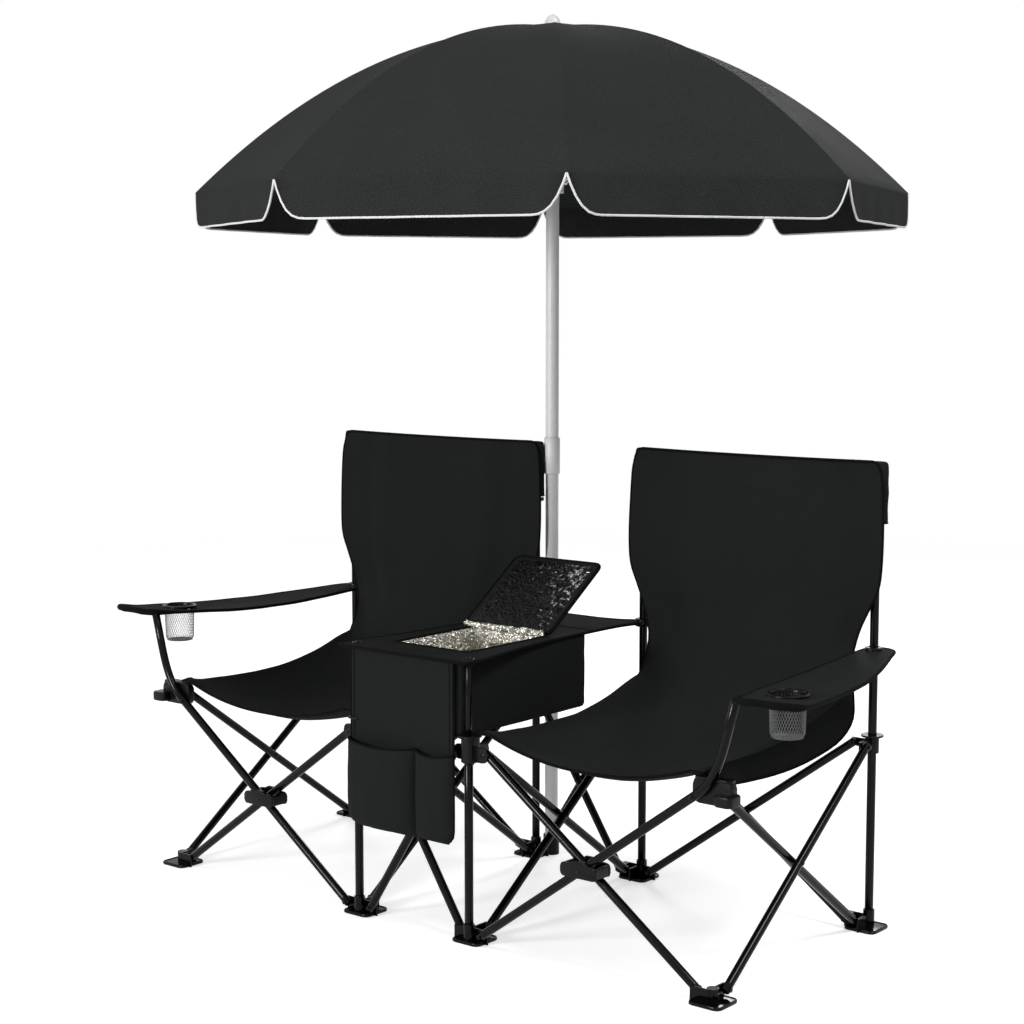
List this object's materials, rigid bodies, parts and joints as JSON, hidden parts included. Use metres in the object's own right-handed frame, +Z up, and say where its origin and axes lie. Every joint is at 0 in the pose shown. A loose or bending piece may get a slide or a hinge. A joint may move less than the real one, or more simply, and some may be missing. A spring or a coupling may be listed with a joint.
{
  "type": "double canopy camping chair",
  "caption": "Folding camping chair for two: sling seats, armrests with net cup holders, a fabric table over a cooler, front pockets, and an umbrella canopy on a pole beside one seat.",
  "frame": {"origin": "on the ground, below the middle of the whole object's box", "axes": "+Z up, the seats face -Y, +X to the right of a viewer in front"},
  "size_m": [1.6626, 1.4582, 1.7373],
  "materials": {
    "black_steel": "satin powder coat",
    "black_plastic": "matte",
    "black_cloth": "woven, matte",
    "silver_foil": "crinkled foil lining",
    "canopy_cloth": "fine weave, matte",
    "grey_plastic": "matte",
    "rib_metal": "satin",
    "grey_steel": "light grey coat"
  },
  "bodies": {
    "rear_leg_left_inner": {"rear_leg_left_inner": "black_steel", "umbrella_socket": "black_plastic", "umbrella_lower_pole": "grey_steel", "sling_left": "black_cloth", "table_top": "black_cloth", "cooler": "silver_foil", "pocket_panel": "black_cloth"},
    "rear_tube_left_from_inner": {"rear_tube_left_from_inner": "black_steel"},
    "rear_tube_left_from_outer": {"rear_tube_left_from_outer": "black_steel"},
    "rear_slider_left_outer": {"rear_slider_left_outer": "black_plastic"},
    "rear_leg_left_outer": {"rear_leg_left_outer": "black_steel", "armrest_left": "black_cloth"},
    "rear_slider_left_inner": {"rear_slider_left_inner": "black_plastic"},
    "centre_rear_tube_from_left": {"centre_rear_tube_from_left": "black_steel"},
    "centre_rear_tube_from_right": {"centre_rear_tube_from_right": "black_steel"},
    "rear_leg_right_inner": {"rear_leg_right_inner": "black_steel", "sling_right": "black_cloth"},
    "rear_tube_right_from_inner": {"rear_tube_right_from_inner": "black_steel"},
    "rear_tube_right_from_outer": {"rear_tube_right_from_outer": "black_steel"},
    "rear_slider_right_outer": {"rear_slider_right_outer": "black_plastic"},
    "rear_leg_right_outer": {"rear_leg_right_outer": "black_steel", "armrest_right": "black_cloth"},
    "rear_slider_right_inner": {"rear_slider_right_inner": "black_plastic"},
    "side_tube_left_inner_from_rear": {"side_tube_left_inner_from_rear": "black_steel"},
    "side_tube_left_inner_from_front": {"side_tube_left_inner_from_front": "black_steel"},
    "front_post_left_inner": {"front_post_left_inner": "black_steel"},
    "front_joint_left_inner": {"front_joint_left_inner": "black_plastic"},
    "side_tube_left_outer_from_rear": {"side_tube_left_outer_from_rear": "black_steel"},
    "side_tube_left_outer_from_front": {"side_tube_left_outer_from_front": "black_steel"},
    "front_foot_left_outer": {"front_foot_left_outer": "black_steel"},
    "front_joint_left_outer": {"front_joint_left_outer": "black_plastic"},
    "side_tube_right_inner_from_rear": {"side_tube_right_inner_from_rear": "black_steel"},
    "side_tube_right_inner_from_front": {"side_tube_right_inner_from_front": "black_steel"},
    "front_post_right_inner": {"front_post_right_inner": "black_steel"},
    "front_joint_right_inner": {"front_joint_right_inner": "black_plastic"},
    "side_tube_right_outer_from_rear": {"side_tube_right_outer_from_rear": "black_steel"},
    "side_tube_right_outer_from_front": {"side_tube_right_outer_from_front": "black_steel"},
    "front_foot_right_outer": {"front_foot_right_outer": "black_steel"},
    "front_joint_right_outer": {"front_joint_right_outer": "black_plastic"},
    "front_arm_tube_left": {"front_arm_tube_left": "black_steel"},
    "front_cross_tube_left": {"front_cross_tube_left": "black_steel"},
    "front_hub_left": {"front_hub_left": "black_plastic"},
    "front_arm_tube_right": {"front_arm_tube_right": "black_steel"},
    "front_cross_tube_right": {"front_cross_tube_right": "black_steel"},
    "front_hub_right": {"front_hub_right": "black_plastic"},
    "centre_front_tube_from_left": {"centre_front_tube_from_left": "black_steel"},
    "centre_front_tube_from_right": {"centre_front_tube_from_right": "black_steel"},
    "cooler_lid": {"cooler_lid": "black_cloth"},
    "umbrella_upper_pole": {"umbrella_upper_pole": "grey_steel", "umbrella_canopy": "canopy_cloth"},
    "umbrella_runner": {"umbrella_runner": "grey_plastic", "umbrella_stretchers": "rib_metal"},
    "umbrella_rib_1": {"umbrella_rib_1": "rib_metal"},
    "umbrella_rib_2": {"umbrella_rib_2": "rib_metal"},
    "umbrella_rib_3": {"umbrella_rib_3": "rib_metal"},
    "umbrella_rib_4": {"umbrella_rib_4": "rib_metal"},
    "umbrella_rib_5": {"umbrella_rib_5": "rib_metal"},
    "umbrella_rib_6": {"umbrella_rib_6": "rib_metal"},
    "umbrella_rib_7": {"umbrella_rib_7": "rib_metal"},
    "umbrella_rib_8": {"umbrella_rib_8": "rib_metal"}
  },
  "joints": [
    {"name": "frame_fold", "type": "hinge", "parent": "rear_leg_left_inner", "child": "rear_tube_left_from_inner", "pos_m": [-0.16015, -0.0345, 0.018], "axis": [0, 1, 0], "range_deg": [0, 47], "deforming": ["sling_left", "sling_right", "armrest_left", "armrest_right", "table_top", "cooler", "cooler_lid", "pocket_panel"]},
    {"name": "fold_rear_tube_left_from_outer", "type": "hinge", "parent": "rear_tube_left_from_inner", "child": "rear_tube_left_from_outer", "pos_m": [-0.38915, -0.051, 0.184], "axis": [0, 1, 0], "range_deg": [-94.5, 0.5]},
    {"name": "fold_rear_slider_left_outer", "type": "hinge", "parent": "rear_tube_left_from_inner", "child": "rear_slider_left_outer", "pos_m": [-0.61815, -0.0345, 0.35], "axis": [0, 1, 0], "range_deg": [-47.5, 0.5]},
    {"name": "fold_rear_leg_left_outer", "type": "hinge", "parent": "rear_tube_left_from_outer", "child": "rear_leg_left_outer", "pos_m": [-0.61815, -0.051, 0.018], "axis": [0, 1, 0], "range_deg": [-0.5, 47.5]},
    {"name": "fold_rear_slider_left_inner", "type": "hinge", "parent": "rear_tube_left_from_outer", "child": "rear_slider_left_inner", "pos_m": [-0.16015, -0.051, 0.35], "axis": [0, 1, 0], "range_deg": [-0.5, 47.5]},
    {"name": "fold_centre_rear_tube_from_left", "type": "hinge", "parent": "rear_leg_left_inner", "child": "centre_rear_tube_from_left", "pos_m": [-0.09815, -0.0345, 0.018], "axis": [0, -1, 0], "range_deg": [-0.5, 22.83]},
    {"name": "fold_centre_rear_tube_from_right", "type": "hinge", "parent": "centre_rear_tube_from_left", "child": "centre_rear_tube_from_right", "pos_m": [0.00785, -0.051, 0.184], "axis": [0, -1, 0], "range_deg": [-45.16, 0.5]},
    {"name": "fold_rear_leg_right_inner", "type": "hinge", "parent": "centre_rear_tube_from_right", "child": "rear_leg_right_inner", "pos_m": [0.11385, -0.051, 0.018], "axis": [0, -1, 0], "range_deg": [-0.5, 22.83]},
    {"name": "fold_rear_tube_right_from_inner", "type": "hinge", "parent": "rear_leg_right_inner", "child": "rear_tube_right_from_inner", "pos_m": [0.17585, -0.0345, 0.018], "axis": [0, -1, 0], "range_deg": [-0.5, 47.5]},
    {"name": "fold_rear_tube_right_from_outer", "type": "hinge", "parent": "rear_tube_right_from_inner", "child": "rear_tube_right_from_outer", "pos_m": [0.40485, -0.051, 0.184], "axis": [0, -1, 0], "range_deg": [-94.5, 0.5]},
    {"name": "fold_rear_slider_right_outer", "type": "hinge", "parent": "rear_tube_right_from_inner", "child": "rear_slider_right_outer", "pos_m": [0.63385, -0.0345, 0.35], "axis": [0, -1, 0], "range_deg": [-47.5, 0.5]},
    {"name": "fold_rear_leg_right_outer", "type": "hinge", "parent": "rear_tube_right_from_outer", "child": "rear_leg_right_outer", "pos_m": [0.63385, -0.051, 0.018], "axis": [0, -1, 0], "range_deg": [-0.5, 47.5]},
    {"name": "fold_rear_slider_right_inner", "type": "hinge", "parent": "rear_tube_right_from_outer", "child": "rear_slider_right_inner", "pos_m": [0.17585, -0.051, 0.35], "axis": [0, -1, 0], "range_deg": [-0.5, 47.5]},
    {"name": "fold_side_tube_left_inner_from_rear", "type": "hinge", "parent": "rear_leg_left_inner", "child": "side_tube_left_inner_from_rear", "pos_m": [-0.1209, -0.0555, 0.018], "axis": [-1, 0, 0], "range_deg": [-0.5, 47.5]},
    {"name": "fold_side_tube_left_inner_from_front", "type": "hinge", "parent": "side_tube_left_inner_from_rear", "child": "side_tube_left_inner_from_front", "pos_m": [-0.1374, -0.2845, 0.184], "axis": [-1, 0, 0], "range_deg": [-94.5, 0.5]},
    {"name": "fold_front_post_left_inner", "type": "hinge", "parent": "side_tube_left_inner_from_front", "child": "front_post_left_inner", "pos_m": [-0.1374, -0.5135, 0.018], "axis": [-1, 0, 0], "range_deg": [-0.5, 47.5]},
    {"name": "fold_front_joint_left_inner", "type": "hinge", "parent": "side_tube_left_inner_from_rear", "child": "front_joint_left_inner", "pos_m": [-0.1209, -0.5135, 0.35], "axis": [-1, 0, 0], "range_deg": [-47.5, 0.5]},
    {"name": "fold_side_tube_left_outer_from_rear", "type": "hinge", "parent": "rear_leg_left_outer", "child": "side_tube_left_outer_from_rear", "pos_m": [-0.6409, -0.0555, 0.018], "axis": [-1, 0, 0], "range_deg": [-0.5, 47.5]},
    {"name": "fold_side_tube_left_outer_from_front", "type": "hinge", "parent": "side_tube_left_outer_from_rear", "child": "side_tube_left_outer_from_front", "pos_m": [-0.6574, -0.2845, 0.184], "axis": [-1, 0, 0], "range_deg": [-94.5, 0.5]},
    {"name": "fold_front_foot_left_outer", "type": "hinge", "parent": "side_tube_left_outer_from_front", "child": "front_foot_left_outer", "pos_m": [-0.6574, -0.5135, 0.018], "axis": [-1, 0, 0], "range_deg": [-0.5, 47.5]},
    {"name": "fold_front_joint_left_outer", "type": "hinge", "parent": "side_tube_left_outer_from_rear", "child": "front_joint_left_outer", "pos_m": [-0.6409, -0.5135, 0.35], "axis": [-1, 0, 0], "range_deg": [-47.5, 0.5]},
    {"name": "fold_side_tube_right_inner_from_rear", "type": "hinge", "parent": "rear_leg_right_inner", "child": "side_tube_right_inner_from_rear", "pos_m": [0.1366, -0.0555, 0.018], "axis": [-1, 0, 0], "range_deg": [-0.5, 47.5]},
    {"name": "fold_side_tube_right_inner_from_front", "type": "hinge", "parent": "side_tube_right_inner_from_rear", "child": "side_tube_right_inner_from_front", "pos_m": [0.1531, -0.2845, 0.184], "axis": [-1, 0, 0], "range_deg": [-94.5, 0.5]},
    {"name": "fold_front_post_right_inner", "type": "hinge", "parent": "side_tube_right_inner_from_front", "child": "front_post_right_inner", "pos_m": [0.1531, -0.5135, 0.018], "axis": [-1, 0, 0], "range_deg": [-0.5, 47.5]},
    {"name": "fold_front_joint_right_inner", "type": "hinge", "parent": "side_tube_right_inner_from_rear", "child": "front_joint_right_inner", "pos_m": [0.1366, -0.5135, 0.35], "axis": [-1, 0, 0], "range_deg": [-47.5, 0.5]},
    {"name": "fold_side_tube_right_outer_from_rear", "type": "hinge", "parent": "rear_leg_right_outer", "child": "side_tube_right_outer_from_rear", "pos_m": [0.6566, -0.0555, 0.018], "axis": [-1, 0, 0], "range_deg": [-0.5, 47.5]},
    {"name": "fold_side_tube_right_outer_from_front", "type": "hinge", "parent": "side_tube_right_outer_from_rear", "child": "side_tube_right_outer_from_front", "pos_m": [0.6731, -0.2845, 0.184], "axis": [-1, 0, 0], "range_deg": [-94.5, 0.5]},
    {"name": "fold_front_foot_right_outer", "type": "hinge", "parent": "side_tube_right_outer_from_front", "child": "front_foot_right_outer", "pos_m": [0.6731, -0.5135, 0.018], "axis": [-1, 0, 0], "range_deg": [-0.5, 47.5]},
    {"name": "fold_front_joint_right_outer", "type": "hinge", "parent": "side_tube_right_outer_from_rear", "child": "front_joint_right_outer", "pos_m": [0.6566, -0.5135, 0.35], "axis": [-1, 0, 0], "range_deg": [-47.5, 0.5]},
    {"name": "fold_front_arm_tube_left", "type": "hinge", "parent": "front_post_left_inner", "child": "front_arm_tube_left", "pos_m": [-0.16015, -0.56025, 0.018], "axis": [0, 1, 0], "range_deg": [-0.5, 47.5]},
    {"name": "fold_front_cross_tube_left", "type": "hinge", "parent": "front_foot_left_outer", "child": "front_cross_tube_left", "pos_m": [-0.61815, -0.54375, 0.018], "axis": [0, -1, 0], "range_deg": [-0.5, 47.5]},
    {"name": "fold_front_hub_left", "type": "hinge", "parent": "front_arm_tube_left", "child": "front_hub_left", "pos_m": [-0.38915, -0.56025, 0.184], "axis": [0, 1, 0], "range_deg": [-47.5, 0.5]},
    {"name": "fold_front_arm_tube_right", "type": "hinge", "parent": "front_post_right_inner", "child": "front_arm_tube_right", "pos_m": [0.17585, -0.56025, 0.018], "axis": [0, -1, 0], "range_deg": [-0.5, 47.5]},
    {"name": "fold_front_cross_tube_right", "type": "hinge", "parent": "front_foot_right_outer", "child": "front_cross_tube_right", "pos_m": [0.63385, -0.54375, 0.018], "axis": [0, 1, 0], "range_deg": [-0.5, 47.5]},
    {"name": "fold_front_hub_right", "type": "hinge", "parent": "front_arm_tube_right", "child": "front_hub_right", "pos_m": [0.40485, -0.56025, 0.184], "axis": [0, -1, 0], "range_deg": [-47.5, 0.5]},
    {"name": "fold_centre_front_tube_from_left", "type": "hinge", "parent": "front_post_left_inner", "child": "centre_front_tube_from_left", "pos_m": [-0.09815, -0.56025, 0.018], "axis": [0, -1, 0], "range_deg": [-0.5, 22.83]},
    {"name": "fold_centre_front_tube_from_right", "type": "hinge", "parent": "front_post_right_inner", "child": "centre_front_tube_from_right", "pos_m": [0.11385, -0.54375, 0.018], "axis": [0, 1, 0], "range_deg": [-0.5, 22.83]},
    {"name": "lid_hinge", "type": "hinge", "parent": "rear_leg_left_inner", "child": "cooler_lid", "pos_m": [0.00785, -0.276, 0.5278], "axis": [1, 0, 0], "range_deg": [0, 145]},
    {"name": "umbrella_lift", "type": "slide", "parent": "rear_leg_left_inner", "child": "umbrella_upper_pole", "axis": [0, 0, 1], "range_m": [0, 0.12]},
    {"name": "umbrella_close", "type": "slide", "parent": "umbrella_upper_pole", "child": "umbrella_runner", "axis": [0, 0, -1], "range_m": [0, 0.46], "deforming": ["umbrella_canopy", "umbrella_stretchers"]},
    {"name": "rib_hinge_1", "type": "hinge", "parent": "umbrella_upper_pole", "child": "umbrella_rib_1", "pos_m": [-0.08182, 0.017, 1.70665], "axis": [-0.6414, 0.7672, 0], "range_deg": [-1, 61]},
    {"name": "rib_hinge_2", "type": "hinge", "parent": "umbrella_upper_pole", "child": "umbrella_rib_2", "pos_m": [-0.09979, 0.0264, 1.70665], "axis": [-0.996, 0.0889, 0], "range_deg": [-1, 61]},
    {"name": "rib_hinge_3", "type": "hinge", "parent": "umbrella_upper_pole", "child": "umbrella_rib_3", "pos_m": [-0.11915, 0.02033, 1.70665], "axis": [-0.7672, -0.6414, 0], "range_deg": [-1, 61]},
    {"name": "rib_hinge_4", "type": "hinge", "parent": "umbrella_upper_pole", "child": "umbrella_rib_4", "pos_m": [-0.12854, 0.00236, 1.70665], "axis": [-0.0889, -0.996, 0], "range_deg": [-1, 61]},
    {"name": "rib_hinge_5", "type": "hinge", "parent": "umbrella_upper_pole", "child": "umbrella_rib_5", "pos_m": [-0.12248, -0.017, 1.70665], "axis": [0.6414, -0.7672, 0], "range_deg": [-1, 61]},
    {"name": "rib_hinge_6", "type": "hinge", "parent": "umbrella_upper_pole", "child": "umbrella_rib_6", "pos_m": [-0.1045, -0.0264, 1.70665], "axis": [0.996, -0.0889, 0], "range_deg": [-1, 61]},
    {"name": "rib_hinge_7", "type": "hinge", "parent": "umbrella_upper_pole", "child": "umbrella_rib_7", "pos_m": [-0.08515, -0.02033, 1.70665], "axis": [0.7672, 0.6414, 0], "range_deg": [-1, 61]},
    {"name": "rib_hinge_8", "type": "hinge", "parent": "umbrella_upper_pole", "child": "umbrella_rib_8", "pos_m": [-0.07575, -0.00236, 1.70665], "axis": [0.0889, 0.996, 0], "range_deg": [-1, 61]}
  ],
  "couplings": [
    {"joint": "fold_rear_tube_left_from_outer", "follows": "frame_fold", "ratio": -2},
    {"joint": "fold_rear_slider_left_outer", "follows": "frame_fold", "ratio": -1},
    {"joint": "fold_rear_leg_left_outer", "follows": "frame_fold", "ratio": 1},
    {"joint": "fold_rear_slider_left_inner", "follows": "frame_fold", "ratio": 1},
    {"joint": "fold_centre_rear_tube_from_left", "follows": "frame_fold", "ratio": 0.4751},
    {"joint": "fold_centre_rear_tube_from_right", "follows": "frame_fold", "ratio": -0.9502},
    {"joint": "fold_rear_leg_right_inner", "follows": "frame_fold", "ratio": 0.4751},
    {"joint": "fold_rear_tube_right_from_inner", "follows": "frame_fold", "ratio": 1},
    {"joint": "fold_rear_tube_right_from_outer", "follows": "frame_fold", "ratio": -2},
    {"joint": "fold_rear_slider_right_outer", "follows": "frame_fold", "ratio": -1},
    {"joint": "fold_rear_leg_right_outer", "follows": "frame_fold", "ratio": 1},
    {"joint": "fold_rear_slider_right_inner", "follows": "frame_fold", "ratio": 1},
    {"joint": "fold_side_tube_left_inner_from_rear", "follows": "frame_fold", "ratio": 1},
    {"joint": "fold_side_tube_left_inner_from_front", "follows": "frame_fold", "ratio": -2},
    {"joint": "fold_front_post_left_inner", "follows": "frame_fold", "ratio": 1},
    {"joint": "fold_front_joint_left_inner", "follows": "frame_fold", "ratio": -1},
    {"joint": "fold_side_tube_left_outer_from_rear", "follows": "frame_fold", "ratio": 1},
    {"joint": "fold_side_tube_left_outer_from_front", "follows": "frame_fold", "ratio": -2},
    {"joint": "fold_front_foot_left_outer", "follows": "frame_fold", "ratio": 1},
    {"joint": "fold_front_joint_left_outer", "follows": "frame_fold", "ratio": -1},
    {"joint": "fold_side_tube_right_inner_from_rear", "follows": "frame_fold", "ratio": 1},
    {"joint": "fold_side_tube_right_inner_from_front", "follows": "frame_fold", "ratio": -2},
    {"joint": "fold_front_post_right_inner", "follows": "frame_fold", "ratio": 1},
    {"joint": "fold_front_joint_right_inner", "follows": "frame_fold", "ratio": -1},
    {"joint": "fold_side_tube_right_outer_from_rear", "follows": "frame_fold", "ratio": 1},
    {"joint": "fold_side_tube_right_outer_from_front", "follows": "frame_fold", "ratio": -2},
    {"joint": "fold_front_foot_right_outer", "follows": "frame_fold", "ratio": 1},
    {"joint": "fold_front_joint_right_outer", "follows": "frame_fold", "ratio": -1},
    {"joint": "fold_front_arm_tube_left", "follows": "frame_fold", "ratio": 1},
    {"joint": "fold_front_cross_tube_left", "follows": "frame_fold", "ratio": 1},
    {"joint": "fold_front_hub_left", "follows": "frame_fold", "ratio": -1},
    {"joint": "fold_front_arm_tube_right", "follows": "frame_fold", "ratio": 1},
    {"joint": "fold_front_cross_tube_right", "follows": "frame_fold", "ratio": 1},
    {"joint": "fold_front_hub_right", "follows": "frame_fold", "ratio": -1},
    {"joint": "fold_centre_front_tube_from_left", "follows": "frame_fold", "ratio": 0.4751},
    {"joint": "fold_centre_front_tube_from_right", "follows": "frame_fold", "ratio": 0.4751},
    {"joint": "rib_hinge_1", "follows": "umbrella_close", "rad_per_m": 2.2765},
    {"joint": "rib_hinge_2", "follows": "umbrella_close", "rad_per_m": 2.2765},
    {"joint": "rib_hinge_3", "follows": "umbrella_close", "rad_per_m": 2.2765},
    {"joint": "rib_hinge_4", "follows": "umbrella_close", "rad_per_m": 2.2765},
    {"joint": "rib_hinge_5", "follows": "umbrella_close", "rad_per_m": 2.2765},
    {"joint": "rib_hinge_6", "follows": "umbrella_close", "rad_per_m": 2.2765},
    {"joint": "rib_hinge_7", "follows": "umbrella_close", "rad_per_m": 2.2765},
    {"joint": "rib_hinge_8", "follows": "umbrella_close", "rad_per_m": 2.2765}
  ]
}
